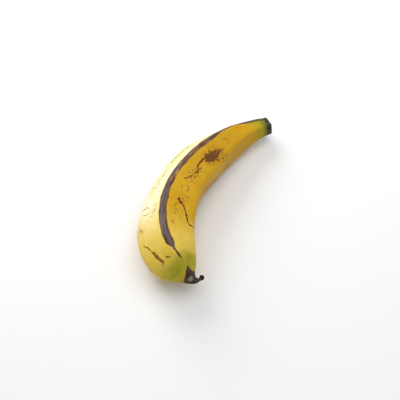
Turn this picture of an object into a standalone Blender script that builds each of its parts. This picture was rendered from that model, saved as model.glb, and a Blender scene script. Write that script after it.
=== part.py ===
"""A whole ripe plantain lying on its side: one solid, from the cut stem to the curled flower remnant.

The fruit is a loft. Its middle line lies in one plane and is given by its heading, which turns
steadily from the flower end to the stem. Rounded five-sided sections stand across that line.
The fruit is then rolled into the pose in which it comes to rest, with a small flat where it lies.

Row frame: metres, +Z up, +Y along the fruit from its flower end to its stem, origin on the resting
plane at the middle of the fruit's box. The outer, convex side of the bend faces -X.
"""

import math

import bmesh
import bpy
import numpy as np
from mathutils import Matrix, Vector

# Driving dimensions, in metres.
MIDLINE_LENGTH = 0.2325
THICKNESS = 0.0500
RESTING_SINK = 0.0007

# The pose in which the fruit comes to rest, in degrees: its bend plane leans out of the horizontal.
ROLL_ABOUT_LENGTH = 7.0
PITCH_TO_STEM = -1.5
YAW_ON_TABLE = -3.0

# The five ridges, in degrees round the section from the outer side of the bend towards the top.
RIDGES = (72.0, 144.0, 218.0, 292.0, 358.0)
RIDGE_SHARPNESS = 9.0
# A five-sided section of unit inner radius is about this wide from its middle, seen from any side.
MEAN_HALF_WIDTH = 1.055

# The stem was cut at a slant: how far the cut runs on, as a share of the radius, and towards which side.
CUT_SLANT = 0.10
CUT_TOWARDS = 200.0
SLANT_BEGINS = 0.94  # share of the length

# Rings stand closer where the fruit turns most: by so much of the length at the flower end, and
# by so much towards the remnant as against the stem.
RINGS = 64
POINTS_PER_RING = 40
CLOSER_AT_ENDS = 0.085
CLOSER_TO_REMNANT = 0.055

# Stations along the fruit. The first column is the share of the midline's length, the second the
# heading in degrees from +Y towards +X, the third the half thickness as a share of half THICKNESS,
# the fourth how far the ridges have turned in degrees, and the last how five-sided the section is.
STATIONS = (
    (0.000, -183.0, 0.050, 16.0, 0.00),  # end of the curled flower remnant
    (0.023, -136.0, 0.090, 16.0, 0.00),
    (0.047, -85.0, 0.180, 16.0, 0.10),  # where the remnant leaves the fruit
    (0.072, -65.0, 0.370, 16.0, 0.35),
    (0.110, -65.5, 0.690, 15.5, 0.60),
    (0.160, -55.0, 0.900, 14.5, 0.80),
    (0.230, -28.5, 0.965, 10.0, 0.90),  # the fattest place
    (0.360, -9.5, 0.945, 1.0, 1.00),
    (0.500, 5.0, 0.880, -2.5, 1.00),
    (0.630, 18.5, 0.850, -1.5, 1.00),
    (0.740, 27.0, 0.720, -7.0, 1.00),  # shoulder, where the neck begins
    (0.850, 33.0, 0.520, -19.0, 1.00),
    (1.000, 46.5, 0.310, -25.0, 0.90),  # the cut stem
)


def between_stations(column, shares):
    """A station column at other shares of the length, by a natural cubic spline through the stations."""
    table = np.array(STATIONS)
    at, values = table[:, 0], table[:, column]
    gaps = np.diff(at)
    rises = np.diff(values) / gaps
    system = np.eye(len(at))
    change = np.zeros(len(at))
    for i in range(1, len(at) - 1):
        system[i, i - 1 : i + 2] = gaps[i - 1], 2 * (gaps[i - 1] + gaps[i]), gaps[i]
        change[i] = 6 * (rises[i] - rises[i - 1])
    bends = np.linalg.solve(system, change)
    span = np.clip(np.searchsorted(at, shares, side="right") - 1, 0, len(at) - 2)
    gap = gaps[span]
    ahead = (at[span + 1] - shares) / gap
    behind = 1 - ahead
    straight = values[span] * ahead + values[span + 1] * behind
    bent = bends[span] * (ahead**3 - ahead) + bends[span + 1] * (behind**3 - behind)
    return straight + bent * gap**2 / 6


def midline(shares):
    """Points and headings of the fruit's middle line, found by walking along it in small steps."""
    fine = np.linspace(0.0, 1.0, 2001)
    headings = np.radians(between_stations(1, fine))
    step = MIDLINE_LENGTH / (len(fine) - 1)
    x = np.concatenate([[0.0], np.cumsum(np.sin(headings[:-1]) * step)])
    y = np.concatenate([[0.0], np.cumsum(np.cos(headings[:-1]) * step)])
    return np.interp(shares, fine, x), np.interp(shares, fine, y), np.interp(shares, fine, headings)


def section_radius(around, turn):
    """Radius of a rounded five-sided section of unit inner radius at an angle, both in degrees."""
    ridges = sorted((ridge + turn) % 360 for ridge in RIDGES)
    following = ridges[1:] + [ridges[0] + 360]
    total = 0.0
    for first, second in zip(ridges, following):
        side_distance = math.cos(math.radians(second - first) / 2) / math.cos(math.pi / 5)
        facing = math.cos(math.radians(around - (first + second) / 2))
        total += max(0.0, facing / side_distance) ** RIDGE_SHARPNESS
    return total ** (-1 / RIDGE_SHARPNESS)


def ring_shares():
    """Places for the rings: close together at the flower end and the cut, wider apart on the body."""
    even = np.linspace(0.0, 1.0, RINGS)
    turn = 2 * np.pi * even
    return even - CLOSER_AT_ENDS * np.sin(turn) - CLOSER_TO_REMNANT * (1 - np.cos(turn)) / 2


def fruit_mesh():
    """The loft: one ring of points for each share, joined to the next by a band of quads."""
    shares = ring_shares()
    x, y, heading = midline(shares)
    half = between_stations(2, shares) * THICKNESS / 2
    turn = between_stations(3, shares)
    five_sided = between_stations(4, shares)
    bm = bmesh.new()
    rings = []
    for i in range(RINGS):
        inward = Vector((math.cos(heading[i]), -math.sin(heading[i]), 0))
        forward = Vector((math.sin(heading[i]), math.cos(heading[i]), 0))
        near_cut = max(0.0, (shares[i] - SLANT_BEGINS) / (1 - SLANT_BEGINS)) ** 2
        ring = []
        for k in range(POINTS_PER_RING):
            around = 360 * k / POINTS_PER_RING
            angle = math.radians(around)
            shape = 1 + five_sided[i] * (section_radius(around, turn[i]) / MEAN_HALF_WIDTH - 1)
            radius = half[i] * shape
            slant = near_cut * CUT_SLANT * radius * math.cos(math.radians(around - CUT_TOWARDS))
            point = Vector((x[i], y[i], 0)) - inward * radius * math.cos(angle)
            point += Vector((0, 0, radius * math.sin(angle))) + forward * slant
            ring.append(bm.verts.new(point))
        rings.append(ring)
    for lower, upper in zip(rings, rings[1:]):
        for k in range(POINTS_PER_RING):
            after = (k + 1) % POINTS_PER_RING
            bm.faces.new((lower[k], lower[after], upper[after], upper[k]))
    bm.faces.new(reversed(rings[0]))
    bm.faces.new(rings[-1])
    return bm


def lay_down(bm):
    """Rolls the fruit into its resting pose and puts the middle of its box over the origin."""
    pose = (
        Matrix.Rotation(math.radians(-YAW_ON_TABLE), 4, "Z")
        @ Matrix.Rotation(math.radians(PITCH_TO_STEM), 4, "X")
        @ Matrix.Rotation(math.radians(ROLL_ABOUT_LENGTH), 4, "Y")
    )
    bm.transform(pose)
    points = np.array([vert.co for vert in bm.verts])
    low, high = points.min(axis=0), points.max(axis=0)
    middle = (low + high) / 2
    bm.transform(Matrix.Translation((-middle[0], -middle[1], -low[2] - RESTING_SINK)))


def flatten_where_it_rests(bm):
    """Cuts away what lies below the resting plane and closes the cut with a flat face."""
    everything = list(bm.verts) + list(bm.edges) + list(bm.faces)
    cut = bmesh.ops.bisect_plane(
        bm, geom=everything, plane_co=(0, 0, 0), plane_no=(0, 0, -1), clear_outer=True
    )
    rim = [part for part in cut["geom_cut"] if isinstance(part, bmesh.types.BMEdge)]
    bmesh.ops.holes_fill(bm, edges=rim, sides=0)


def peel_material():
    material = bpy.data.materials.new("peel")
    material.use_nodes = True
    shader = material.node_tree.nodes["Principled BSDF"]
    shader.inputs["Base Color"].default_value = (0.62, 0.40, 0.06, 1)
    shader.inputs["Roughness"].default_value = 0.42
    shader.inputs["Metallic"].default_value = 0.0
    return material


def main():
    for obj in list(bpy.data.objects):
        bpy.data.objects.remove(obj)
    collection = bpy.data.collections.new("plantain")
    bpy.context.scene.collection.children.link(collection)

    bm = fruit_mesh()
    lay_down(bm)
    flatten_where_it_rests(bm)
    bmesh.ops.triangulate(bm, faces=bm.faces)
    bmesh.ops.recalc_face_normals(bm, faces=bm.faces)
    mesh = bpy.data.meshes.new("plantain")
    bm.to_mesh(mesh)
    bm.free()
    mesh.materials.append(peel_material())
    mesh.shade_smooth()
    mesh.set_sharp_from_angle(angle=math.radians(50))
    collection.objects.link(bpy.data.objects.new("plantain", mesh))


main()
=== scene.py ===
# %% [markdown]
# # A ripe plantain, lying on its side
#
# A plantain is one piece of nature: a peel that bends and twists, five soft ridges, a cut stem at
# one end and a dried scrap of flower at the other. We grow it the way it is built. First we walk
# its middle line, then we loft a five-sided skin round that line with Geometry Nodes, and last we
# paint the skin with marks that know where they are along and around the fruit.

import math
from types import SimpleNamespace

import bpy
import numpy as np
from mathutils import Matrix, Vector


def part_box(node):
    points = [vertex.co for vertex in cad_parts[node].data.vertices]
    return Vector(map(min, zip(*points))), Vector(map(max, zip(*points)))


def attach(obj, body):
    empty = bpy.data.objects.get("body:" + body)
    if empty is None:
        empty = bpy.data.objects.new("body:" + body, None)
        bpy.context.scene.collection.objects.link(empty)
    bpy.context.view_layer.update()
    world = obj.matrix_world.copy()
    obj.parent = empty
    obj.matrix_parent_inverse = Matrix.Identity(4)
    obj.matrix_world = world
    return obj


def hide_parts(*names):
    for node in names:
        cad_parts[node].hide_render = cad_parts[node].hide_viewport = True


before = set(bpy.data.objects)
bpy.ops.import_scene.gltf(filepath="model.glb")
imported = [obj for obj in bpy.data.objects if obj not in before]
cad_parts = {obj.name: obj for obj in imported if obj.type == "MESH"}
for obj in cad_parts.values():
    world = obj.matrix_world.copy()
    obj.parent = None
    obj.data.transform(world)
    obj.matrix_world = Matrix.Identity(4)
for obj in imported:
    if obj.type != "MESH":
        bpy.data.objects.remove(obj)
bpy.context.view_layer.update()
fruit_low, fruit_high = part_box("plantain")
MM = 0.001
print("the fruit's box is", [round(side / MM, 1) for side in fruit_high - fruit_low], "mm")

# %% [markdown]
# ## Small helpers
#
# Node trees built in a script are long when every socket is wired by hand. A few helpers keep them
# readable. One feeds a socket with either a number or another socket, and one adds a node and
# feeds it in the same breath. Arithmetic gets a short name of its own because it is so common.

# %% Nodes and arithmetic
def feed(tree, value, socket):
    """Links a socket to another, or sets its value when a plain number, colour or name is given."""
    if isinstance(value, bpy.types.NodeSocket):
        tree.links.new(value, socket)
    else:
        socket.default_value = value


def add(tree, kind, inputs=None, **settings):
    """A new node with its settings, and its inputs fed by name or number."""
    made = tree.nodes.new(kind)
    for name, value in settings.items():
        setattr(made, name, value)
    for key, value in (inputs or {}).items():
        feed(tree, value, made.inputs[key])
    return made


def calc(tree, operation, *values):
    """One step of arithmetic. Returns the socket that holds the answer."""
    return add(tree, "ShaderNodeMath", dict(enumerate(values)), operation=operation).outputs[0]


def vector_calc(tree, operation, first, second):
    made = add(tree, "ShaderNodeVectorMath", {0: first}, operation=operation)
    feed(tree, second, made.inputs["Scale" if operation == "SCALE" else 1])
    return made.outputs["Vector"]


# %% Soft steps and noise
def ramp(tree, value, start, end, low=0.0, high=1.0):
    """A soft step: low before start, high after end, and a smooth curve between them."""
    inputs = {0: value, 1: start, 2: end, 3: low, 4: high}
    return add(tree, "ShaderNodeMapRange", inputs, interpolation_type="SMOOTHSTEP").outputs[0]


def window(tree, value, start, end, edge):
    """1 between start and end, with soft edges outside them."""
    rising = ramp(tree, value, start - edge, start)
    return calc(tree, "MULTIPLY", rising, ramp(tree, value, end + edge, end))


def noise(tree, place, size, detail=2.0):
    """Clouds about one size across, in the unit that the place is given in."""
    inputs = {"Vector": place, "Scale": 1 / size, "Detail": detail, "Roughness": 0.55}
    return add(tree, "ShaderNodeTexNoise", inputs).outputs[0]


def drawn_out(tree, place, across, lengthwise):
    """A place with its sides scaled, so that noise read there is drawn out along the fruit."""
    return vector_calc(tree, "MULTIPLY", place, (across, across, lengthwise))


# %% Node groups
FLOAT, VECTOR, INTEGER = "NodeSocketFloat", "NodeSocketVector", "NodeSocketInt"
GEOMETRY, MATERIAL = "NodeSocketGeometry", "NodeSocketMaterial"


def group(name, kind, inputs, outputs):
    """An empty node group with named inputs and outputs. Returns the tree and its two end nodes."""
    tree = bpy.data.node_groups.new(name, kind)
    for label, socket_type, value in inputs:
        socket = tree.interface.new_socket(label, in_out="INPUT", socket_type=socket_type)
        if value is not None:
            socket.default_value = value
    for label, socket_type in outputs:
        tree.interface.new_socket(label, in_out="OUTPUT", socket_type=socket_type)
    return tree, tree.nodes.new("NodeGroupInput"), tree.nodes.new("NodeGroupOutput")


def use(tree, made_group, **inputs):
    """Places a group in a tree. Its inputs are named in lower case with _ for spaces."""
    kind = "ShaderNodeGroup" if made_group.bl_idname == "ShaderNodeTree" else "GeometryNodeGroup"
    placed = add(tree, kind, node_tree=made_group)
    for name, value in inputs.items():
        feed(tree, value, placed.inputs[name.replace("_", " ").title()])
    return placed.outputs


print("helpers ready")

# %% [markdown]
# ## The floor
#
# The room is a plain white sweep. Its paint is matte, because a glossy floor would throw a second
# fruit back at us and pale light up the fruit's belly.

# %% Floor
def matte_floor():
    material = bpy.data.materials.new("white sweep")
    material.use_nodes = True
    shader = material.node_tree.nodes["Principled BSDF"]
    shader.inputs["Base Color"].default_value = (0.85, 0.85, 0.85, 1)
    shader.inputs["Roughness"].default_value = 0.9
    shader.inputs["Specular IOR Level"].default_value = 0.1
    return material


bpy.ops.mesh.primitive_plane_add(size=6.0, location=(0, 0, 0))
floor = bpy.context.object
floor.name = "floor"
floor.data.materials.append(matte_floor())
print("floor", tuple(round(side, 1) for side in floor.dimensions), "m")

# %% [markdown]
# ## The light
#
# A large soft light stands behind the fruit on its outer side. It washes over the pale flank and
# only grazes the upper one, so the ridge between them reads as an edge. A second soft light hangs
# above, and the white room fills the rest.

# %% Lights and room
def soft_light(name, place, aim, size, watts):
    """A square panel of white light at a place, turned to face the point it is aimed at."""
    data = bpy.data.lights.new(name, "AREA")
    data.shape = "SQUARE"
    data.size = size
    data.energy = watts
    lamp = bpy.data.objects.new(name, data)
    lamp.location = place
    lamp.rotation_euler = (Vector(aim) - Vector(place)).to_track_quat("-Z", "Y").to_euler()
    bpy.context.scene.collection.objects.link(lamp)


soft_light("key", (-0.72, 0.48, 0.52), (0, 0, 0.02), 0.6, 7.5)
soft_light("fill", (0.12, 0.22, 1.00), (0, 0, 0.02), 0.9, 5.2)
world = bpy.data.worlds.new("white room")
world.use_nodes = True
world.node_tree.nodes["Background"].inputs["Color"].default_value = (1, 1, 1, 1)
world.node_tree.nodes["Background"].inputs["Strength"].default_value = 0.5
bpy.context.scene.world = world
bpy.context.scene.view_settings.view_transform = "Standard"
print("lights", [(lamp.name, lamp.energy) for lamp in bpy.data.lights])

# %% [markdown]
# ## The camera
#
# The camera looks down on the fruit from its flower end and a little from the right, through an
# ordinary 50 mm lens. Two angles and a distance are easier to think about
# than a position, so the position is worked out from them.

# %% Camera
CAMERA_AZIMUTH = 25.0
CAMERA_ELEVATION = 60.0
CAMERA_DISTANCE = 0.517
CAMERA_AIM = Vector((5.5, -16.5, 22.0)) * MM


def look_from(azimuth, elevation):
    """The direction from the fruit to a camera at these angles, in degrees."""
    a, e = math.radians(azimuth), math.radians(elevation)
    return Vector((math.sin(a) * math.cos(e), -math.cos(a) * math.cos(e), math.sin(e)))


towards_camera = look_from(CAMERA_AZIMUTH, CAMERA_ELEVATION)
camera = bpy.data.objects.new("camera", bpy.data.cameras.new("camera"))
camera.data.lens = 50.0
camera.location = CAMERA_AIM + towards_camera * CAMERA_DISTANCE
camera.rotation_euler = (-towards_camera).to_track_quat("-Z", "Y").to_euler()
bpy.context.scene.collection.objects.link(camera)
bpy.context.scene.camera = camera
print("camera stands", round(camera.location.z, 3), "m above the floor")

# %% [markdown]
# ## The middle line
#
# A plantain bends because its outer side grows faster than its inner side. The simplest honest
# description of that is a heading: which way the fruit points at each place along it. Walking
# forward in small steps, and turning a little at each, draws the line. The same stations also say
# how thick the fruit is, how far its ridges have turned, and how five-sided its section is. They
# repeat the solid's own stations, so the skin lands where the solid is. Their headings, thicknesses
# and ridge turns were fitted to an outline by a program and then rounded: they are measured, and
# not chosen by hand.

# %% Stations along the fruit
MIDLINE = 232.5 * MM
HALF_THICKNESS = 25.0 * MM
STATIONS = np.array([
    # share of length, heading in degrees from +Y to +X, half thickness, ridge turn, five-sided
    (0.000, -183.0, 0.050, 16.0, 0.00),  # tip of the dried flower
    (0.023, -136.0, 0.090, 16.0, 0.00),
    (0.047, -85.0, 0.180, 16.0, 0.10),  # where it leaves the fruit
    (0.072, -65.0, 0.370, 16.0, 0.35),
    (0.110, -65.5, 0.690, 15.5, 0.60),
    (0.160, -55.0, 0.900, 14.5, 0.80),
    (0.230, -28.5, 0.965, 10.0, 0.90),  # the fattest place
    (0.360, -9.5, 0.945, 1.0, 1.00),
    (0.500, 5.0, 0.880, -2.5, 1.00),
    (0.630, 18.5, 0.850, -1.5, 1.00),
    (0.740, 27.0, 0.720, -7.0, 1.00),  # shoulder
    (0.850, 33.0, 0.520, -19.0, 1.00),
    (1.000, 46.5, 0.310, -25.0, 0.90),  # cut stem
])


def between_stations(column, shares):
    """A station column at other shares of the length, by a natural cubic spline."""
    at, values = STATIONS[:, 0], STATIONS[:, column]
    gaps = np.diff(at)
    rises = np.diff(values) / gaps
    system = np.eye(len(at))
    change = np.zeros(len(at))
    for i in range(1, len(at) - 1):
        system[i, i - 1 : i + 2] = gaps[i - 1], 2 * (gaps[i - 1] + gaps[i]), gaps[i]
        change[i] = 6 * (rises[i] - rises[i - 1])
    bends = np.linalg.solve(system, change)
    span = np.clip(np.searchsorted(at, shares, side="right") - 1, 0, len(at) - 2)
    ahead = (at[span + 1] - shares) / gaps[span]
    behind = 1 - ahead
    straight = values[span] * ahead + values[span + 1] * behind
    bent = bends[span] * (ahead**3 - ahead) + bends[span + 1] * (behind**3 - behind)
    return straight + bent * gaps[span] ** 2 / 6


thickest = 2 * HALF_THICKNESS * between_stations(2, np.linspace(0, 1, 500)).max()
print("thickest", round(thickest / MM, 1), "mm")

# %% [markdown]
# ## Rings
#
# The skin is made of rings. The flower remnant and its neck need them close together, and the long
# smooth body does not. Past the last station come the rings of the cut face: they stand in almost
# the same place and only shrink, down to a single point. The first ring is a point too, so that
# the skin is closed at both ends.

# %% Where the rings stand
TIP_RINGS, BODY_RINGS, CUT_RINGS = 84, 362, 26
POINTS_AROUND = 200
TIP_SHARE = 0.085
ROUNDED_TIP = 0.004


def ring_table():
    """For each ring: share of length, share of the full radius, and share of the way over the cut."""
    tip = TIP_SHARE * np.linspace(0, 1, TIP_RINGS, endpoint=False)
    body = np.linspace(TIP_SHARE, 1.0, BODY_RINGS)
    shares = np.concatenate([[0.0], tip, body, np.ones(CUT_RINGS)])
    over_cut = np.zeros(len(shares))
    over_cut[-CUT_RINGS:] = np.linspace(0, 1, CUT_RINGS + 1)[1:]
    rounding = np.sqrt(np.clip(1 - (1 - shares / ROUNDED_TIP) ** 2, 0, 1))
    full = np.where(shares < ROUNDED_TIP, rounding, 1.0) * (1 - over_cut)
    return shares, full, over_cut


shares, full, over_cut = ring_table()
print(len(shares), "rings of", POINTS_AROUND, "points")

# %% [markdown]
# Geometry Nodes can read any numbers that are stored on a mesh. So the middle line becomes a mesh
# of its own, one point for each ring, and carries everything that a ring has to know.

# %% The middle line as a mesh
CUT_SLANT = 0.10
SLANT_BEGINS = 0.94
CUT_HOLLOW = 0.9 * MM

fine_shares = np.linspace(0.0, 1.0, 2001)
fine_heading = np.radians(between_stations(1, fine_shares))
stride = MIDLINE / (len(fine_shares) - 1)
walked_x = np.concatenate([[0.0], np.cumsum(np.sin(fine_heading[:-1]) * stride)])
walked_y = np.concatenate([[0.0], np.cumsum(np.cos(fine_heading[:-1]) * stride)])
heading = np.interp(shares, fine_shares, fine_heading)
ahead = np.column_stack([np.sin(heading), np.cos(heading), 0 * heading])
centres = np.column_stack([
    np.interp(shares, fine_shares, walked_x),
    np.interp(shares, fine_shares, walked_y),
    0 * shares,
])
centres -= ahead * (CUT_HOLLOW * np.sin(math.pi / 2 * over_cut) ** 0.7)[:, None]
near_cut = np.clip((shares - SLANT_BEGINS) / (1 - SLANT_BEGINS), 0, 1) ** 2

midline = bpy.data.meshes.new("midline")
midline.from_pydata(centres.tolist(), [(i, i + 1) for i in range(len(shares) - 1)], [])


def keep_on_midline(name, values):
    """Stores one number, or one vector, on each point of the middle line."""
    wide = np.ndim(values) == 2
    stored = midline.attributes.new(name, "FLOAT_VECTOR" if wide else "FLOAT", "POINT")
    stored.data.foreach_set("vector" if wide else "value", np.ravel(values).astype(np.float32))


keep_on_midline("ahead", ahead)
keep_on_midline("radius", between_stations(2, shares) * HALF_THICKNESS * full)
keep_on_midline("turn", between_stations(3, shares))
keep_on_midline("five_sided", between_stations(4, shares))
keep_on_midline("along", shares * MIDLINE / MM)
keep_on_midline("over_cut", over_cut)
keep_on_midline("slant", near_cut * CUT_SLANT)
print("the middle line carries", [a.name for a in midline.attributes if a.name[0] != "."])

# %% [markdown]
# ## One flat side, one rib
#
# Cut a plantain across and you see a rounded pentagon. Each side is a flat line at some distance
# from the middle, facing some way. A high power makes the nearest side win, and the lower the
# power, the rounder the corners where two sides meet. One small group works out one side, and the
# loft uses it five times. A second group is the low swelling that runs along a ridge.

# %% Groups for a side and a rib
RIDGES = (72.0, 144.0, 218.0, 292.0, 358.0)


def flat_side_group():
    inputs = [("Around", FLOAT, 0), ("Faces", FLOAT, 0), ("Distance", FLOAT, 1), ("Sharpness", FLOAT, 9)]
    tree, start, end = group("one flat side", "GeometryNodeTree", inputs, [("Pull", FLOAT)])
    given = start.outputs
    apart = calc(tree, "RADIANS", calc(tree, "SUBTRACT", given["Around"], given["Faces"]))
    facing = calc(tree, "DIVIDE", calc(tree, "COSINE", apart), given["Distance"])
    pull = calc(tree, "POWER", calc(tree, "MAXIMUM", facing, 0), given["Sharpness"])
    feed(tree, pull, end.inputs["Pull"])
    return tree


def rib_group():
    """A low, narrow swelling along one ridge, 1 on the ridge and fading to 0 away from it."""
    inputs = [("Around", FLOAT, 0), ("Ridge", FLOAT, 0), ("Width", FLOAT, 5)]
    tree, start, end = group("one rib", "GeometryNodeTree", inputs, [("Height", FLOAT)])
    given = start.outputs
    apart = calc(tree, "WRAP", calc(tree, "SUBTRACT", given["Around"], given["Ridge"]), 180, -180)
    share = calc(tree, "POWER", calc(tree, "DIVIDE", apart, given["Width"]), 2)
    feed(tree, calc(tree, "EXPONENT", calc(tree, "MULTIPLY", share, -1)), end.inputs["Height"])
    return tree


flat_side = flat_side_group()
rib = rib_group()
print("the sides meet at", RIDGES, "degrees")

# %% [markdown]
# ## The section
#
# The five sides are added up here. The radius that comes out is 1 where the section is as wide as
# its ring says, a little more on a ridge and a little less in the middle of a side. Where a ring
# is only partly five-sided, the section is part of the way to a circle.

# %% Radius of the section
MEAN_HALF_WIDTH = 1.055


def section_radius(tree, local_around, five_sided, sharpness):
    total = 0.0
    for first, second in zip(RIDGES, RIDGES[1:] + (RIDGES[0] + 360,)):
        distance = math.cos(math.radians(second - first) / 2) / math.cos(math.pi / 5)
        faces = (first + second) / 2
        side = use(tree, flat_side, around=local_around, faces=faces, distance=distance, sharpness=sharpness)
        total = calc(tree, "ADD", total, side["Pull"])
    radius = calc(tree, "POWER", total, calc(tree, "DIVIDE", -1, sharpness))
    change = calc(tree, "SUBTRACT", calc(tree, "DIVIDE", radius, MEAN_HALF_WIDTH), 1)
    return calc(tree, "MULTIPLY_ADD", change, five_sided, 1)


# %% [markdown]
# ## From a flat grid to a skin
#
# The skin starts as a flat grid, one column for each ring and one row for each step round it. Each
# point of the grid looks up its ring on the middle line and is moved to its place there. A grid
# brings a clean UV map with it, and the fruit keeps that map. Once the first and last row have
# been merged, the skin is closed.

# %% What a grid point knows
def stored(tree, name, kind="FLOAT"):
    return add(tree, "GeometryNodeInputNamedAttribute", {"Name": name}, data_type=kind).outputs[0]


def at_ring(tree, line, ring, value, kind="FLOAT"):
    """A value of the middle line, read at one ring."""
    inputs = {"Geometry": line, "Value": value, "Index": ring}
    return add(tree, "GeometryNodeSampleIndex", inputs, data_type=kind).outputs[0]


def grid_point(tree, given):
    """The ring that a grid point belongs to, how far round it is, and what the ring says."""
    line, steps = given["Midline"], given["Points Around"]
    rows = calc(tree, "ADD", steps, 1)
    index = add(tree, "GeometryNodeInputIndex").outputs[0]
    ring = calc(tree, "FLOOR", calc(tree, "DIVIDE", calc(tree, "ADD", index, 0.5), rows))
    row = calc(tree, "SUBTRACT", index, calc(tree, "MULTIPLY", ring, rows))
    around = calc(tree, "MULTIPLY", calc(tree, "DIVIDE", row, steps), 360)
    position = add(tree, "GeometryNodeInputPosition").outputs[0]
    point = SimpleNamespace(
        rows=rows, around=around,
        centre=at_ring(tree, line, ring, position, "FLOAT_VECTOR"),
        ahead=at_ring(tree, line, ring, stored(tree, "ahead", "FLOAT_VECTOR"), "FLOAT_VECTOR"),
    )
    for name in ("radius", "turn", "five_sided", "along", "over_cut", "slant"):
        setattr(point, name, at_ring(tree, line, ring, stored(tree, name)))
    return point


# %% Where a grid point goes
def lofted_point(tree, given, point):
    """The point's place on the fruit, and its place on a straightened fruit in millimetres."""
    angle = calc(tree, "RADIANS", point.around)
    cosine, sine = calc(tree, "COSINE", angle), calc(tree, "SINE", angle)
    local = calc(tree, "SUBTRACT", point.around, point.turn)
    shape = section_radius(tree, local, point.five_sided, given["Ridge Sharpness"])
    radius = calc(tree, "MULTIPLY", shape, point.radius)
    ahead_x, ahead_y, _ = add(tree, "ShaderNodeSeparateXYZ", {0: point.ahead}).outputs
    left_x = calc(tree, "MULTIPLY", ahead_y, -1)
    outward = add(tree, "ShaderNodeCombineXYZ", {0: left_x, 1: ahead_x}).outputs[0]
    sideways = vector_calc(tree, "SCALE", outward, calc(tree, "MULTIPLY", radius, cosine))
    upward = add(tree, "ShaderNodeCombineXYZ", {2: calc(tree, "MULTIPLY", radius, sine)}).outputs[0]
    from_cut = calc(tree, "RADIANS", calc(tree, "SUBTRACT", point.around, given["Cut Towards"]))
    lean = calc(tree, "MULTIPLY", calc(tree, "MULTIPLY", point.slant, calc(tree, "COSINE", from_cut)), radius)
    leaning = vector_calc(tree, "SCALE", point.ahead, lean)
    place = vector_calc(tree, "ADD", point.centre, sideways)
    place = vector_calc(tree, "ADD", place, vector_calc(tree, "ADD", upward, leaning))
    girth = calc(tree, "MULTIPLY", point.radius, 1 / MM)
    straight_x, straight_y = calc(tree, "MULTIPLY", cosine, girth), calc(tree, "MULTIPLY", sine, girth)
    straight = {0: straight_x, 1: straight_y, 2: point.along}
    return place, add(tree, "ShaderNodeCombineXYZ", straight).outputs[0]


# %% The closed skin
def closed_skin(tree, given):
    point = grid_point(tree, given)
    place, peel_place = lofted_point(tree, given, point)
    grid = add(tree, "GeometryNodeMeshGrid", {"Vertices X": given["Rings"], "Vertices Y": point.rows})
    kept = (
        ("OFBake", "FLOAT2", "CORNER", grid.outputs["UV Map"]),
        ("peel_place", "FLOAT_VECTOR", "POINT", peel_place),
        ("ridge_turn", "FLOAT", "POINT", point.turn),
        ("over_cut", "FLOAT", "POINT", point.over_cut),
        ("lofted", "FLOAT_VECTOR", "POINT", place),
    )
    skin = grid.outputs["Mesh"]
    for name, kind, domain, value in kept:
        inputs = {"Geometry": skin, "Name": name, "Value": value}
        skin = add(tree, "GeometryNodeStoreNamedAttribute", inputs, data_type=kind, domain=domain).outputs[0]
    moved = {"Geometry": skin, "Position": stored(tree, "lofted", "FLOAT_VECTOR")}
    skin = add(tree, "GeometryNodeSetPosition", moved).outputs[0]
    skin = add(tree, "GeometryNodeRemoveAttribute", {"Geometry": skin, "Name": "lofted"}).outputs[0]
    skin = add(tree, "GeometryNodeMergeByDistance", {"Geometry": skin, "Distance": 2e-7}).outputs[0]
    return add(tree, "GeometryNodeFlipFaces", {"Mesh": skin}).outputs[0]


# %% [markdown]
# ## Laying it down
#
# The loft's bend lies flat in its own plane, but a real fruit rolls a little until it finds its
# rest. The skin is turned by that pose, its box is centred where the frame's fruit is, and its
# lowest point goes a hair below the floor. After the relief, whatever is below is pressed up to
# the floor, which is the small flat that the fruit lies on.

# %% Turn, centre and press
def laid_down(tree, given, skin):
    turned = add(tree, "GeometryNodeTransform", {"Geometry": skin, "Rotation": given["Pose"]}).outputs[0]
    box = add(tree, "GeometryNodeBoundBox", {"Geometry": turned})
    middle = vector_calc(tree, "SCALE", vector_calc(tree, "ADD", box.outputs["Min"], box.outputs["Max"]), 0.5)
    aim = vector_calc(tree, "SUBTRACT", given["Middle Of Box"], middle)
    aim_x, aim_y, _ = add(tree, "ShaderNodeSeparateXYZ", {0: aim}).outputs
    lowest = add(tree, "ShaderNodeSeparateXYZ", {0: box.outputs["Min"]}).outputs[2]
    down = calc(tree, "MULTIPLY", calc(tree, "ADD", lowest, given["Resting Sink"]), -1)
    shift = add(tree, "ShaderNodeCombineXYZ", {0: aim_x, 1: aim_y, 2: down}).outputs[0]
    return add(tree, "GeometryNodeTransform", {"Geometry": turned, "Translation": shift}).outputs[0]


def pressed_flat(tree, skin):
    here = add(tree, "GeometryNodeInputPosition").outputs[0]
    x, y, z = add(tree, "ShaderNodeSeparateXYZ", {0: here}).outputs
    rested = add(tree, "ShaderNodeCombineXYZ", {0: x, 1: y, 2: calc(tree, "MAXIMUM", z, 0.0)}).outputs[0]
    return add(tree, "GeometryNodeSetPosition", {"Geometry": skin, "Position": rested}).outputs[0]


# %% [markdown]
# ## Relief
#
# No peel is as smooth as a loft. Shallow dents come from handling, faint waves run lengthwise, the
# neck has creases, the skin puckers where it gathers round the dried flower, and the flower itself
# is shrivelled to a stalk with a knob on its end. Each of these is a height, added up and pushed
# out along the skin's normal. All of them are real geometry, so they also catch the outline.

# %% Ends of the fruit
def end_relief(tree, given, along):
    """The knob on the dried flower's tip and the lip round the cut stem."""
    knob = calc(tree, "MULTIPLY_ADD", ramp(tree, along, 2.2, 4.4, 1, 0), 1.8, -0.9)
    knob = calc(tree, "MULTIPLY", knob, ramp(tree, along, 5.0, 10.0, 1, 0))
    knob = calc(tree, "MULTIPLY", knob, ramp(tree, along, 0.0, 0.7))
    lip = calc(tree, "MULTIPLY", ramp(tree, along, 228.5, 232.0), given["Stem Lip"])
    return calc(tree, "MULTIPLY_ADD", knob, given["Remnant Knob"], lip)


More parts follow.
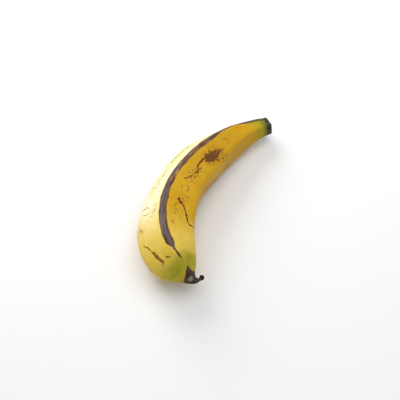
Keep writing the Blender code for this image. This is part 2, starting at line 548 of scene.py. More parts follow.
def rib_relief(tree, given, place, local_around):
    total = 0.0
    for ridge in RIDGES:
        swelling = use(tree, rib, around=local_around, ridge=ridge, width=4.5)["Height"]
        total = calc(tree, "ADD", total, swelling)
    uneven = noise(tree, drawn_out(tree, place, 0.3, 1), 14)
    uneven = calc(tree, "MULTIPLY_ADD", uneven, 1.4, -0.1)
    return calc(tree, "MULTIPLY", calc(tree, "MULTIPLY", total, uneven), given["Ribs"])


# %% All relief together
def relief(tree, given):
    place = stored(tree, "peel_place", "FLOAT_VECTOR")
    x, y, along = add(tree, "ShaderNodeSeparateXYZ", {0: place}).outputs
    around = calc(tree, "DEGREES", calc(tree, "ARCTAN2", y, x))
    local_around = calc(tree, "SUBTRACT", around, stored(tree, "ridge_turn"))
    lengthwise = drawn_out(tree, place, 1, 0.12)
    body = ramp(tree, along, 14, 40)
    gathered = calc(tree, "MULTIPLY", ramp(tree, along, 11, 18), ramp(tree, along, 22, 42, 1, 0))
    swings = (
        (place, 26, "Dents", body),
        (lengthwise, 5, "Waves", body),
        (lengthwise, 3.2, "Neck Creases", ramp(tree, along, 165, 225)),
        (lengthwise, 4.5, "Tip Puckers", gathered),
        (lengthwise, 2.5, "Remnant Wrinkles", ramp(tree, along, 9, 15, 1, 0)),
    )
    height = end_relief(tree, given, along)
    for where, size, name, share in swings:
        wave = calc(tree, "SUBTRACT", noise(tree, where, size, 3.0), 0.5)
        height = calc(tree, "MULTIPLY_ADD", calc(tree, "MULTIPLY", wave, given[name]), share, height)
    ribs = rib_relief(tree, given, place, local_around)
    height = calc(tree, "MULTIPLY_ADD", ribs, body, height)
    return calc(tree, "MULTIPLY", height, ramp(tree, stored(tree, "over_cut"), 0.0, 0.12, 1, 0))


# %% [markdown]
# ## The whole tree
#
# Now the steps are put in order: skin, pose, relief, floor, smooth shading, and the two materials.
# Every size that a grower might want to change is a named input of the tree.

# %% The loft as one tree
def loft_tree():
    inputs = [("Midline", GEOMETRY, None), ("Rings", INTEGER, 400), ("Points Around", INTEGER, 200)]
    inputs += [("Ridge Sharpness", FLOAT, 9.0), ("Cut Towards", FLOAT, 200.0)]
    inputs += [("Pose", VECTOR, None), ("Middle Of Box", VECTOR, None), ("Resting Sink", FLOAT, 0.0007)]
    reliefs = ("Dents", "Waves", "Ribs", "Neck Creases", "Tip Puckers")
    reliefs += ("Remnant Wrinkles", "Remnant Knob", "Stem Lip")
    inputs += [(name, FLOAT, 0.0) for name in reliefs]
    inputs += [("Peel", MATERIAL, None), ("Cut Stem", MATERIAL, None)]
    tree, start, end = group("loft the fruit", "GeometryNodeTree", inputs, [("Fruit", GEOMETRY)])
    given = start.outputs
    skin = laid_down(tree, given, closed_skin(tree, given))
    normal = add(tree, "GeometryNodeInputNormal").outputs[0]
    pushed = {"Geometry": skin, "Offset": vector_calc(tree, "SCALE", normal, relief(tree, given))}
    skin = pressed_flat(tree, add(tree, "GeometryNodeSetPosition", pushed).outputs[0])
    skin = add(tree, "GeometryNodeSetShadeSmooth", {"Geometry": skin}).outputs[0]
    skin = add(tree, "GeometryNodeRealizeInstances", {"Geometry": skin}).outputs[0]
    peeled = {"Geometry": skin, "Material": given["Peel"]}
    skin = add(tree, "GeometryNodeSetMaterial", peeled).outputs[0]
    on_cut = calc(tree, "GREATER_THAN", stored(tree, "over_cut"), 0.005)
    cut = {"Geometry": skin, "Selection": on_cut, "Material": given["Cut Stem"]}
    feed(tree, add(tree, "GeometryNodeSetMaterial", cut).outputs[0], end.inputs["Fruit"])
    return tree


loft = loft_tree()
print("the loft has", len(loft.nodes), "nodes")

# %% [markdown]
# ## Where is this on the peel?
#
# A bruise belongs to a place on the fruit, not to a place in the room. The loft left an attribute
# on the skin, peel_place: the point on a straightened fruit, in millimetres, where z is the
# distance from the flower end. The first group turns that into three useful numbers. It can also
# shake the place with noise first, so that anything drawn there gets the ragged edge of a real
# bruise.

# %% Peel coordinates
def peel_coordinates_group():
    inputs = [("Place", VECTOR, None), ("Shake Size", FLOAT, 2.0), ("Shake", FLOAT, 0.0)]
    outputs = [("Along", FLOAT), ("Around", FLOAT), ("Per Degree", FLOAT)]
    tree, start, end = group("peel coordinates", "ShaderNodeTree", inputs, outputs)
    given = start.outputs
    shaker = add(tree, "ShaderNodeTexNoise", {"Vector": given["Place"], "Detail": 3.0, "Roughness": 0.6})
    feed(tree, calc(tree, "DIVIDE", 1, given["Shake Size"]), shaker.inputs["Scale"])
    centred = vector_calc(tree, "SUBTRACT", shaker.outputs["Color"], (0.5, 0.5, 0.5))
    shaken = vector_calc(tree, "ADD", given["Place"], vector_calc(tree, "SCALE", centred, given["Shake"]))
    x, y, along = add(tree, "ShaderNodeSeparateXYZ", {0: shaken}).outputs
    girth = calc(tree, "SQRT", calc(tree, "MULTIPLY_ADD", x, x, calc(tree, "MULTIPLY", y, y)))
    feed(tree, along, end.inputs["Along"])
    feed(tree, calc(tree, "DEGREES", calc(tree, "ARCTAN2", y, x)), end.inputs["Around"])
    feed(tree, calc(tree, "RADIANS", girth), end.inputs["Per Degree"])
    return tree


peel_coordinates = peel_coordinates_group()
print("peel coordinates:", [item.name for item in peel_coordinates.interface.items_tree])

# %% [markdown]
# ## One stroke
#
# Nearly every mark on a ripe plantain is a short line: a scratch from a neighbour's stem, a
# scuff, a curl of dried sap. A stroke is the set of points that are close to a straight piece of
# line, and its width may change from one end to the other. A long scratch is a chain of strokes,
# and a blot is a stroke that is as wide as it is long.

# %% Stroke group
def stroke_group():
    names = ("Along", "Around", "Per Degree", "From Along", "From Around", "To Along", "To Around")
    inputs = [(name, FLOAT, 0.0) for name in names]
    inputs += [("Wide At Start", FLOAT, 1.0), ("Wide At End", FLOAT, 1.0), ("Soft", FLOAT, 0.3)]
    tree, start, end = group("stroke", "ShaderNodeTree", inputs, [("Mask", FLOAT)])
    given = start.outputs

    def round_the_peel(first, second):
        gap = calc(tree, "WRAP", calc(tree, "SUBTRACT", first, second), 180, -180)
        return calc(tree, "MULTIPLY", gap, given["Per Degree"])

    x = calc(tree, "SUBTRACT", given["Along"], given["From Along"])
    y = round_the_peel(given["Around"], given["From Around"])
    run_x = calc(tree, "SUBTRACT", given["To Along"], given["From Along"])
    run_y = round_the_peel(given["To Around"], given["From Around"])
    length = calc(tree, "MULTIPLY_ADD", run_x, run_x, calc(tree, "MULTIPLY_ADD", run_y, run_y, 0.0001))
    forward_part = calc(tree, "MULTIPLY_ADD", x, run_x, calc(tree, "MULTIPLY", y, run_y))
    share = add(tree, "ShaderNodeClamp", {0: calc(tree, "DIVIDE", forward_part, length)}).outputs[0]
    off_x = calc(tree, "SUBTRACT", x, calc(tree, "MULTIPLY", share, run_x))
    off_y = calc(tree, "SUBTRACT", y, calc(tree, "MULTIPLY", share, run_y))
    off = calc(tree, "SQRT", calc(tree, "MULTIPLY_ADD", off_x, off_x, calc(tree, "MULTIPLY", off_y, off_y)))
    grow = calc(tree, "SUBTRACT", given["Wide At End"], given["Wide At Start"])
    wide = calc(tree, "MULTIPLY_ADD", grow, share, given["Wide At Start"])
    outer, inner = calc(tree, "ADD", wide, given["Soft"]), calc(tree, "SUBTRACT", wide, given["Soft"])
    feed(tree, ramp(tree, off, outer, inner), end.inputs["Mask"])
    return tree


stroke = stroke_group()
print("a stroke has", len(stroke.nodes), "nodes")

# %% [markdown]
# ## The marks of this fruit
#
# Each row is a chain of places, written as millimetres from the flower end and degrees round from
# the outer side, then the half width at both ends of the chain, and how dark it is. Most places
# were measured with a mapping script and rounded. The widths, the darkness, and the last rows of
# each list, which are on the sides that face away, were chosen.

# %% Scratches
SCRATCHES = (
    (((87, 101), (84, 108)), 1.5, 0.9, 0.9),  # the long scratch and its thick head
    (((86, 102), (85, 110), (81, 119), (76, 126), (69, 131), (64, 140), (65, 156)), 0.9, 0.5, 1.0),
    (((130, 103), (140, 104)), 0.7, 1.1, 0.85),
    (((119, 90), (119, 103)), 0.35, 0.4, 0.85),
    (((110, 94), (117, 109)), 0.45, 0.75, 0.9),
    (((121, 122), (125, 112), (130, 106)), 0.4, 0.9, 0.75),  # a star of three
    (((116, 115), (124, 112), (131, 116)), 0.4, 0.75, 0.7),
    (((83, 101), (79, 98), (77, 96)), 0.3, 0.6, 0.7),
    (((63, 96), (60, 103)), 0.65, 0.3, 0.9),
    (((49, 22), (47, 31), (45, 35)), 0.3, 0.55, 0.75),  # the brown scuff low on the outer side
    (((46, 34), (42, 42), (38, 45), (35, 48)), 0.9, 1.6, 0.66),
    (((41, 106), (37, 118), (32, 128)), 0.25, 0.3, 0.4),
    (((27, 117), (24, 111)), 0.4, 0.6, 0.5),
    (((35, 65), (33, 70)), 0.7, 0.4, 0.7),
    (((42, 7), (39, 3), (36, 4)), 0.9, 1.4, 0.65),
    (((57, 9), (52, 6)), 0.5, 0.8, 0.55),
    (((77, 10), (78, 21), (75, 33), (72, 36), (70, 29), (71, 17)), 0.45, 0.35, 0.75),  # a curl of sap
    (((126, 17), (137, 21), (148, 26)), 0.7, 1.2, 0.85),
    (((109, 26), (113, 27), (117, 22)), 1.0, 0.6, 0.8),
    (((106, 22), (100, 27), (97, 23)), 0.7, 0.5, 0.75),
    (((165, 134), (163, 144), (157, 147)), 0.35, 0.5, 0.7),
    (((172, 92), (177, 97)), 1.0, 0.7, 0.45),
    (((174, 109), (178, 108)), 0.5, 0.7, 0.4),
    (((166, 197), (169, 199)), 0.5, 0.8, 0.9),
    (((149, 196), (136, 193), (122, 187), (111, 181)), 0.5, 0.8, 0.75),
    (((58, 262), (71, 268), (80, 258)), 0.5, 0.9, 0.8),  # from here on, out of sight
    (((118, 318), (127, 309), (133, 311)), 0.8, 0.4, 0.85),
    (((92, 331), (99, 322)), 1.1, 0.5, 0.6),
    (((101, 242), (96, 255), (99, 266)), 0.3, 0.5, 0.7),
    (((152, 262), (158, 240)), 0.7, 0.4, 0.8),
    (((67, 196), (58, 203), (52, 200)), 0.9, 0.5, 0.75),
)

# %% Blots, and a function that draws them
BLOTS = (
    (((146, 112), (155, 116)), 5.4, 4.4, 0.76),  # the big one on the upper side
    (((155, 115), (166, 119)), 3.0, 1.0, 0.70),
    (((151, 99), (149, 104)), 1.0, 1.8, 0.66),
    (((151, 130), (154, 134)), 1.5, 0.8, 0.68),
    (((141, 122), (143, 129)), 0.9, 0.6, 0.60),
    (((124, 113), (126, 114)), 1.5, 1.0, 0.72),
    (((103, 109), (105, 112)), 0.9, 0.6, 0.50),
    (((64, 14), (56, 22)), 1.3, 1.6, 0.30),
    (((33, 41), (32, 44)), 0.5, 0.8, 0.60),
    (((86, 290), (97, 297)), 3.0, 1.6, 0.70),  # from here on, out of sight
    (((139, 222), (146, 226)), 1.8, 2.6, 0.66),
    (((44, 312), (49, 318)), 2.0, 1.2, 0.62),
)


def one_stroke(tree, where, first, second, wide_at_start, wide_at_end, soft):
    return use(
        tree, stroke, along=where["Along"], around=where["Around"], per_degree=where["Per Degree"],
        from_along=float(first[0]), from_around=float(first[1]),
        to_along=float(second[0]), to_around=float(second[1]),
        wide_at_start=float(wide_at_start), wide_at_end=float(wide_at_end), soft=soft,
    )["Mask"]


def drawn(tree, where, chains, soft):
    """One mask for a list of chains: the darkest stroke wins wherever two of them cross."""
    darkest = 0.0
    for points, wide_at_start, wide_at_end, strength in chains:
        widths = np.linspace(wide_at_start, wide_at_end, len(points))
        for i in range(len(points) - 1):
            mask = one_stroke(tree, where, points[i], points[i + 1], widths[i], widths[i + 1], soft)
            darkest = calc(tree, "MAXIMUM", darkest, calc(tree, "MULTIPLY", mask, strength))
    return darkest


print(len(SCRATCHES), "scratches and", len(BLOTS), "blots")

# %% [markdown]
# ## A bruised ridge
#
# Fruit in a crate touch each other along their ridges, so the ridges bruise first. The band
# follows its ridge round every twist, because it is measured from the ridge's own place. It
# swells and thins with slow noise and ends in a point. The upper ridge has the widest one and
# others have thin, broken ones, so one group serves them all.

# %% Bruised ridge group
def bruised_ridge_group():
    names = ("Along", "Local Around", "Per Degree", "Unevenness", "Ridge", "Half Width")
    names += ("Starts", "Ends", "Taper", "Broken", "Soft")
    inputs = [(name, FLOAT, 0.0) for name in names]
    outputs = [("Mask", FLOAT), ("Off", FLOAT)]
    tree, start, end = group("bruised ridge", "ShaderNodeTree", inputs, outputs)
    given = start.outputs
    gap = calc(tree, "WRAP", calc(tree, "SUBTRACT", given["Local Around"], given["Ridge"]), 180, -180)
    off = calc(tree, "ABSOLUTE", calc(tree, "MULTIPLY", gap, given["Per Degree"]))
    full_from = calc(tree, "ADD", given["Starts"], given["Taper"])
    full_to = calc(tree, "SUBTRACT", given["Ends"], given["Taper"])
    rising = ramp(tree, given["Along"], given["Starts"], full_from)
    falling = ramp(tree, given["Along"], given["Ends"], full_to)
    swing = calc(tree, "MULTIPLY_ADD", calc(tree, "SUBTRACT", given["Unevenness"], 0.5), given["Broken"], 1)
    wide = calc(tree, "MULTIPLY", calc(tree, "MULTIPLY", rising, falling), given["Half Width"])
    wide = calc(tree, "MULTIPLY", wide, swing)
    outer, inner = calc(tree, "ADD", wide, given["Soft"]), calc(tree, "SUBTRACT", wide, given["Soft"])
    band = calc(tree, "MULTIPLY", ramp(tree, off, outer, inner), ramp(tree, wide, 0.02, 0.25))
    feed(tree, band, end.inputs["Mask"])
    feed(tree, off, end.inputs["Off"])
    return tree


bruised_ridge = bruised_ridge_group()
print("a bruised ridge has", len(bruised_ridge.nodes), "nodes")

# %% [markdown]
# ## Mixing paint
#
# Colours are written the way a screen shows them, because that is how we judge them, and turned
# into the linear values that a material needs. Everything that the peel's layers share, such as
# the shaken places and two kinds of grain, is made once and handed from layer to layer.

# %% Colour helpers
def colour(red, green, blue):
    """A colour as a screen shows it, from 0 to 255, as the linear values of a material."""
    shown = [value / 255 for value in (red, green, blue)]
    return (*[v / 12.92 if v <= 0.04045 else ((v + 0.055) / 1.055) ** 2.4 for v in shown], 1.0)


def blend(tree, factor, first, second):
    """A colour between two others."""
    mix = add(tree, "ShaderNodeMix", data_type="RGBA", clamp_factor=True)
    for key, value in ((0, factor), (6, first), (7, second)):
        feed(tree, value, mix.inputs[key])
    return mix.outputs[2]


def grained(tree, grain, start, end, first, second):
    """Two colours mixed by a grain."""
    return blend(tree, ramp(tree, grain, start, end), colour(*first), colour(*second))


def darker_of(tree, *masks):
    most = masks[0]
    for mask in masks[1:]:
        most = calc(tree, "MAXIMUM", most, mask)
    return most


# %% What every layer of the peel shares
def peel_ground(tree):
    place = add(tree, "ShaderNodeAttribute", attribute_name="peel_place").outputs["Vector"]
    turn = add(tree, "ShaderNodeAttribute", attribute_name="ridge_turn").outputs["Fac"]
    ground = SimpleNamespace(place=place, plain=use(tree, peel_coordinates, place=place))
    shaken = (("fine", 1.6, 1.1), ("wiggly", 3.6, 4.2), ("ragged", 3.2, 6.5), ("wavy", 14.0, 16.0))
    for name, size, shake in shaken:
        setattr(ground, name, use(tree, peel_coordinates, place=place, shake_size=size, shake=shake))
    ground.along, ground.around = ground.plain["Along"], ground.plain["Around"]
    ground.fine_local = calc(tree, "SUBTRACT", ground.fine["Around"], turn)
    ground.wavy_local = calc(tree, "WRAP", calc(tree, "SUBTRACT", ground.wavy["Around"], turn), 180, -180)
    ground.mottle = noise(tree, place, 6, 4)
    ground.strands = noise(tree, drawn_out(tree, place, 1, 0.1), 1.6, 3)
    return ground


# %% [markdown]
# ## Yellow
#
# Ripe peel is not one yellow. The inner side is a deep ochre that browns a little towards the
# stem. The outer side is pale and creamy: partly the peel's own paler tone, and partly a painted
# highlight where the key light washes over that flank. The fat end near the flower is a softer
# yellow, darkened towards the tip by painted shade. Clouds of slow noise keep every border from being a line.

# %% Yellow skin
def yellow_skin(tree, ground):
    clouds = noise(tree, ground.place, 30, 2)
    ochre = grained(tree, clouds, 0.35, 0.65, (198, 150, 10), (205, 161, 26))
    ochre = blend(tree, ramp(tree, ground.along, 140, 185, 0.0, 0.7), ochre, colour(186, 140, 8))
    # Pale cream: partly the peel's own tone, partly a painted highlight for the lit outer flank.
    cream_and_painted_highlight = grained(tree, clouds, 0.38, 0.62, (238, 218, 146), (246, 236, 198))
    bulb = grained(tree, ground.mottle, 0.3, 0.7, (220, 186, 62), (228, 200, 92))
    # Painted shade: the bulb darkens to a dull olive-gold towards the flower tip.
    bulb = blend(tree, ramp(tree, ground.wavy["Along"], 46, 16, 0.0, 0.5), bulb, colour(190, 160, 40))
    # Painted highlight: the outer flank that faces the key light is mixed towards the pale cream.
    highlit_outer_side = ramp(tree, ground.wavy_local, -42, 26)
    highlit_outer_side = calc(tree, "MULTIPLY", highlit_outer_side, ramp(tree, ground.fine_local, 78, 66))
    skin = blend(tree, highlit_outer_side, ochre, cream_and_painted_highlight)
    skin = blend(tree, ramp(tree, ground.wavy["Along"], 82, 40), skin, bulb)
    return blend(tree, ramp(tree, ground.mottle, 0.5, 0.75, 0.0, 0.25), skin, colour(190, 150, 50))


# %% [markdown]
# ## Green
#
# A plantain ripens from its middle. Both ends keep some green: a cap round the flower end that
# reaches furthest on the upper side, and the neck, which darkens to olive before the black stem.

# %% Green ends
def green_ends(tree, ground, skin):
    from_top = calc(tree, "COSINE", calc(tree, "RADIANS", calc(tree, "SUBTRACT", ground.around, 68)))
    reach = ramp(tree, from_top, -0.6, 0.9, 15, 30)
    cap = ramp(tree, calc(tree, "SUBTRACT", ground.ragged["Along"], reach), 5, -4)
    cap = calc(tree, "MULTIPLY", cap, ramp(tree, noise(tree, ground.place, 12, 2), 0.35, 0.6, 0.55, 0.95))
    neck = ramp(tree, ground.wavy["Along"], 203, 224, 0.0, 0.85)
    return blend(tree, darker_of(tree, cap, neck), skin, colour(148, 146, 18))


# %% [markdown]
# ## Specks
#
# Sugar spots start as specks. Three textures make them: thin curls, small dots, and a few lone
# spots. A crowd mask says where they gather, which is round the big blot, round the star of
# scratches, at the long scratch's head, and in loose clouds over the rest.

# %% Specks
CROWDS = (
    ((146, 112), (156, 118), 8.0, 8.5, 4.5, 1.0),
    ((100, 108), (124, 112), 4.0, 5.0, 3.5, 0.8),
    ((76, 100), (92, 112), 4.0, 4.0, 3.0, 0.55),
)


def specks(tree, ground):
    place = ground.place
    crowd = ramp(tree, noise(tree, place, 22, 1), 0.56, 0.75, 0.0, 0.6)
    for first, second, wide_at_start, wide_at_end, soft, strength in CROWDS:
        near = one_stroke(tree, ground.plain, first, second, wide_at_start, wide_at_end, soft)
        crowd = calc(tree, "MAXIMUM", crowd, calc(tree, "MULTIPLY", near, strength))
    contour = calc(tree, "ABSOLUTE", calc(tree, "SUBTRACT", noise(tree, place, 3.4, 2), 0.5))
    here_and_there = ramp(tree, noise(tree, place, 2.6, 1), 0.46, 0.56)
    curls = calc(tree, "MULTIPLY", ramp(tree, contour, 0.05, 0.015, 0.0, 0.85), here_and_there)
    dots = ramp(tree, noise(tree, place, 1.7, 2), 0.58, 0.66)
    gathered = calc(tree, "MULTIPLY", calc(tree, "MAXIMUM", curls, dots), crowd)
    cells = add(tree, "ShaderNodeTexVoronoi", {"Vector": place, "Scale": 1 / 7.5})
    chance = add(tree, "ShaderNodeSeparateXYZ", {0: cells.outputs["Color"]}).outputs[0]
    outside = calc(tree, "SUBTRACT", cells.outputs["Distance"], ramp(tree, chance, 0.62, 1.0, 0.0, 0.10))
    return darker_of(tree, gathered, ramp(tree, outside, 0.02, -0.02, 0.0, 0.55))


# %% [markdown]
# ## Scratches and blots on the skin
#
# Drawn strokes look drawn. Two things make them natural: the place they are drawn at is shaken,
# so they wander, and their soft edges are eaten by crumbs of fine noise, so they break up. Faint
# marks are tan and dark ones are nearly black.

# %% Marks
def marks(tree, ground):
    scratches, blots = drawn(tree, ground.wiggly, SCRATCHES, 0.5), drawn(tree, ground.ragged, BLOTS, 1.0)
    strokes = darker_of(tree, scratches, blots)
    crumbs = calc(tree, "SUBTRACT", noise(tree, ground.place, 1.3, 3), 0.5)
    eaten = calc(tree, "MULTIPLY_ADD", crumbs, ramp(tree, strokes, 0.0, 0.3, 0.0, 2.4), strokes)
    strokes = calc(tree, "MULTIPLY", ramp(tree, eaten, 0.12, 0.62), strokes)
    return darker_of(tree, specks(tree, ground), strokes)


def marked(tree, mask, skin):
    dead = grained(tree, mask, 0.35, 0.95, (158, 108, 34), (84, 46, 20))
    return blend(tree, ramp(tree, mask, 0.05, 0.5), skin, dead)


# %% [markdown]
# ## Bruised ridges on the skin
#
# The wide band on the upper ridge is grey-brown and stranded, like old bark. Its edges and a
# stretch in the middle are russet, and there the yellow still shows through in flecks. Near the
# stem it turns olive. A thin tail runs on from it towards the flower end. Three of the other
# ridges have thin dark bruises that come and go.

# %% Bands
def ridge_bands(tree, ground):
    """The wide band with its tail, and the thin bands, as masks."""
    uneven = noise(tree, drawn_out(tree, ground.place, 0.4, 1), 9, 2)
    common = {"along": ground.along, "per_degree": ground.plain["Per Degree"], "unevenness": uneven}
    sway = calc(tree, "SINE", calc(tree, "DIVIDE", calc(tree, "SUBTRACT", ground.along, 117), 23))
    swayed = calc(tree, "SUBTRACT", ground.fine_local, calc(tree, "MULTIPLY_ADD", sway, 3.0, 0.8))
    wide = ramp(tree, ground.along, 90, 125, 3.5, 2.5)
    wide = calc(tree, "MULTIPLY", wide, ramp(tree, ground.along, 160, 180, 1, 0.42))
    wide = calc(tree, "MULTIPLY", wide, ramp(tree, ground.along, 194, 212, 1, 3.3))
    main = use(
        tree, bruised_ridge, **common, local_around=swayed, ridge=RIDGES[0], half_width=wide,
        starts=34.5, ends=246.0, taper=9.0, broken=0.6, soft=0.4,
    )
    tail = use(
        tree, bruised_ridge, **common, local_around=swayed, ridge=RIDGES[0] - 1.0, half_width=0.8,
        starts=25.0, ends=50.0, taper=4.0, broken=3.0, soft=0.35,
    )["Mask"]
    thin = 0.0
    thin_bands = ((2, 0.9, 60.0, 190.0), (3, 1.6, 52.0, 170.0), (4, 0.8, 100.0, 215.0))
    for ridge, half_width, starts, ends in thin_bands:
        one = use(
            tree, bruised_ridge, **common, local_around=ground.fine_local, ridge=RIDGES[ridge],
            half_width=half_width, starts=starts, ends=ends, taper=25.0, broken=5.0, soft=0.35,
        )["Mask"]
        thin = calc(tree, "MAXIMUM", thin, one)
    return SimpleNamespace(main=main["Mask"], off=main["Off"], tail=tail, thin=thin)


# %% Colours of the bands
def banded(tree, ground, bands, skin):
    along, strands = ground.along, ground.strands
    grey = grained(tree, strands, 0.35, 0.7, (72, 60, 54), (114, 98, 88))
    russet = grained(tree, strands, 0.4, 0.62, (84, 42, 26), (150, 104, 40))
    patchy = ramp(tree, noise(tree, ground.place, 5, 3), 0.4, 0.62)
    patchy = calc(tree, "MULTIPLY", window(tree, along, 100, 150, 14), patchy)
    near_stem = calc(tree, "MULTIPLY", window(tree, along, 186, 202, 6), 0.8)
    edge = ramp(tree, bands.off, 2.2, 3.6, 0.0, 0.7)
    band = blend(tree, darker_of(tree, patchy, near_stem, edge), grey, russet)
    band = blend(tree, ramp(tree, along, 198, 210), band, colour(74, 74, 58))
    flecks = calc(tree, "MULTIPLY", ramp(tree, strands, 0.60, 0.66), window(tree, along, 104, 152, 12))
    covers = calc(tree, "MULTIPLY", bands.main, calc(tree, "MULTIPLY_ADD", flecks, -0.75, 1))
    skin = blend(tree, bands.thin, skin, colour(96, 60, 36))
    skin = blend(tree, bands.tail, skin, colour(84, 56, 38))
    return blend(tree, covers, skin, band)


# %% [markdown]
# ## Dark ends
#
# At the flower end the peel has died back in a purple-brown patch with one tall peak. Past it the
# dried flower is dark and dry, with a painted highlight, a silvery grey patch, on its upper side near
# its foot, and it is black at its knob. At the other end the stem was cut green and has since turned
# black, with an olive border where the rot stops.

# %% Masks of the ends
def dark_ends(tree, ground):
    from_peak = calc(tree, "WRAP", calc(tree, "SUBTRACT", ground.fine["Around"], 96), 180, -180)
    to_peak = calc(tree, "MINIMUM", calc(tree, "DIVIDE", from_peak, 32), calc(tree, "DIVIDE", from_peak, -13))
    limit = calc(tree, "MULTIPLY_ADD", calc(tree, "EXPONENT", to_peak), 7.0, 14.0)
    patch = ramp(tree, calc(tree, "SUBTRACT", ground.fine["Along"], limit), 0.5, -0.5)
    stem_line = calc(tree, "MULTIPLY_ADD", noise(tree, ground.place, 5, 1), 5, ground.fine["Along"])
    return SimpleNamespace(
        patch=patch,
        remnant=ramp(tree, ground.fine["Along"], 14.2, 12.6),
        olive=ramp(tree, stem_line, 223, 230, 0.0, 0.8),
        stem=ramp(tree, stem_line, 228.5, 231.5),
    )


# %% Colours of the ends
def darkened(tree, ground, ends, skin):
    skin = blend(tree, ends.olive, skin, colour(92, 92, 26))
    purple = grained(tree, ground.mottle, 0.35, 0.65, (62, 38, 36), (90, 58, 50))
    skin = blend(tree, ends.patch, skin, purple)
    dry = grained(tree, ground.strands, 0.4, 0.7, (40, 34, 24), (92, 84, 64))
    # Painted highlight: a silvery grey patch on the upper side of the dried flower near its foot.
    painted_highlight_at_foot = window(tree, ground.fine["Along"], 11.0, 12.6, 1.2)
    painted_highlight_at_foot = calc(tree, "MULTIPLY", painted_highlight_at_foot, window(tree, ground.around, 45, 80, 18))
    dry = blend(tree, calc(tree, "MULTIPLY", painted_highlight_at_foot, ground.mottle), dry, colour(170, 166, 146))
    dry = blend(tree, ramp(tree, ground.along, 4.5, 2.5), dry, colour(34, 26, 22))
    skin = blend(tree, ends.remnant, skin, dry)
    black = grained(tree, ground.strands, 0.35, 0.7, (40, 40, 26), (80, 80, 60))
    return blend(tree, ends.stem, skin, black)


# %% [markdown]
# ## How the peel feels
#
# Living peel has a soft wax on it and reflects a little. Dead peel is drier, so the same masks
# that darken it also roughen it. The bump has four parts: pores, strands, the slight sinking of
# dead patches, and the wrinkles of the dry ends.

# %% Roughness and bump
def surface(tree, ground, dead, ends, shader):
    dry = darker_of(tree, ends.remnant, ends.stem)
    rough = calc(tree, "MULTIPLY_ADD", dead, 0.14, calc(tree, "MULTIPLY_ADD", ground.mottle, 0.12, 0.40))
    rough = darker_of(tree, rough, calc(tree, "MULTIPLY", dry, 0.72))
    feed(tree, rough, shader.inputs["Roughness"])
    shader.inputs["Specular IOR Level"].default_value = 0.16
    pores = noise(tree, ground.place, 0.7, 2)
    wrinkles = noise(tree, drawn_out(tree, ground.place, 1, 0.3), 1.3, 3)
    strand_height = calc(tree, "MULTIPLY_ADD", dead, 0.16, 0.05)
    height = calc(tree, "MULTIPLY_ADD", pores, 0.035, calc(tree, "MULTIPLY", ground.strands, strand_height))
    height = calc(tree, "MULTIPLY_ADD", dead, -0.16, height)
    height = calc(tree, "MULTIPLY_ADD", wrinkles, calc(tree, "MULTIPLY", dry, 0.7), height)
    bump = add(tree, "ShaderNodeBump", {"Height": height, "Distance": 1 * MM, "Strength": 1.0})
    feed(tree, bump.outputs["Normal"], shader.inputs["Normal"])


# %% [markdown]
# ## The two materials
#
# The ripe peel is all the layers in order. The cut stem is a material of its own, because a cut
# face is fibre and not peel: a dark rim, a paler heart, and a coarse bump.

# %% Ripe peel
def ripe_peel_material():
    material = bpy.data.materials.new("ripe peel")
    material.use_nodes = True
    tree = material.node_tree
    shader = tree.nodes["Principled BSDF"]
    ground = peel_ground(tree)
    spots, bands, ends = marks(tree, ground), ridge_bands(tree, ground), dark_ends(tree, ground)
    skin = green_ends(tree, ground, yellow_skin(tree, ground))
    skin = banded(tree, ground, bands, marked(tree, spots, skin))
    feed(tree, darkened(tree, ground, ends, skin), shader.inputs["Base Color"])
    dead = darker_of(tree, spots, bands.main, bands.thin, ends.patch)
    surface(tree, ground, dead, ends, shader)
    return material


ripe_peel = ripe_peel_material()
print("the peel has", len(ripe_peel.node_tree.nodes), "nodes")


# %% Cut stem
def cut_stem_material():
    material = bpy.data.materials.new("cut stem")
    material.use_nodes = True
    tree = material.node_tree
    shader = tree.nodes["Principled BSDF"]
    place = add(tree, "ShaderNodeAttribute", attribute_name="peel_place").outputs["Vector"]
    over = add(tree, "ShaderNodeAttribute", attribute_name="over_cut").outputs["Fac"]
    fibres = noise(tree, place, 1.4, 3)
    rim = blend(tree, fibres, colour(34, 34, 26), colour(74, 70, 50))
    heart = blend(tree, fibres, colour(58, 50, 34), colour(122, 104, 70))
    feed(tree, blend(tree, ramp(tree, over, 0.15, 0.45), rim, heart), shader.inputs["Base Color"])
    shader.inputs["Roughness"].default_value = 0.8
    bump = add(tree, "ShaderNodeBump", {"Height": fibres, "Distance": 0.8 * MM, "Strength": 1.0})
    feed(tree, bump.outputs["Normal"], shader.inputs["Normal"])
    return material


cut_stem = cut_stem_material()
print("the cut stem has", len(cut_stem.node_tree.nodes), "nodes")

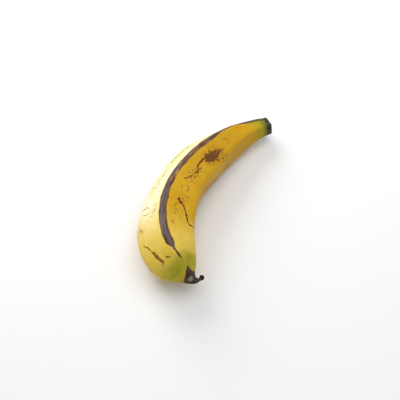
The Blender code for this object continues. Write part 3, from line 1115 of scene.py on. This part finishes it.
# %% [markdown]
# ## Growing the fruit
#
# The tree is put on the middle line as a modifier. Its inputs are set by their identifiers, before
# anything is evaluated. The evaluated result is copied into a plain mesh, and the modifier goes.

# %% Pose and sizes
ROLL_ABOUT_LENGTH = 7.0
PITCH_TO_STEM = -1.5
YAW_ON_TABLE = -3.0
pose = (
    Matrix.Rotation(math.radians(-YAW_ON_TABLE), 3, "Z")
    @ Matrix.Rotation(math.radians(PITCH_TO_STEM), 3, "X")
    @ Matrix.Rotation(math.radians(ROLL_ABOUT_LENGTH), 3, "Y")
)
fruit_settings = {
    "Rings": len(shares),
    "Points Around": POINTS_AROUND,
    "Pose": tuple(pose.to_euler("XYZ")),
    "Middle Of Box": tuple((fruit_low + fruit_high) / 2),
    "Dents": 1.1 * MM,
    "Waves": 0.35 * MM,
    "Ribs": 0.35 * MM,
    "Neck Creases": 1.1 * MM,
    "Tip Puckers": 1.2 * MM,
    "Remnant Wrinkles": 0.9 * MM,
    "Remnant Knob": 0.75 * MM,
    "Stem Lip": 0.5 * MM,
    "Peel": ripe_peel,
    "Cut Stem": cut_stem,
}
print("the fruit is set by", list(fruit_settings))


# %% Grow it
def grown(name, source, tree, settings):
    """The plain mesh that a node tree makes of a source mesh, as a new object at the origin."""
    seedling = bpy.data.objects.new(name, source)
    bpy.context.scene.collection.objects.link(seedling)
    modifier = seedling.modifiers.new("grow", "NODES")
    modifier.node_group = tree
    for item in tree.interface.items_tree:
        if item.in_out == "INPUT" and item.name in settings:
            modifier[item.identifier] = settings[item.name]
    depsgraph = bpy.context.evaluated_depsgraph_get()
    mesh = bpy.data.meshes.new_from_object(seedling.evaluated_get(depsgraph), depsgraph=depsgraph)
    mesh.name = name
    seedling.modifiers.remove(modifier)
    seedling.data = mesh
    return seedling


fruit = grown("plantain_peel", midline, loft, fruit_settings)
fruit.data.calc_loop_triangles()
print(len(fruit.data.loop_triangles), "triangles, maps", [layer.name for layer in fruit.data.uv_layers])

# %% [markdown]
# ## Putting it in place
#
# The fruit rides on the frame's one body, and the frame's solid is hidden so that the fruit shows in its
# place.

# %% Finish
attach(fruit, "root")
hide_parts("plantain")
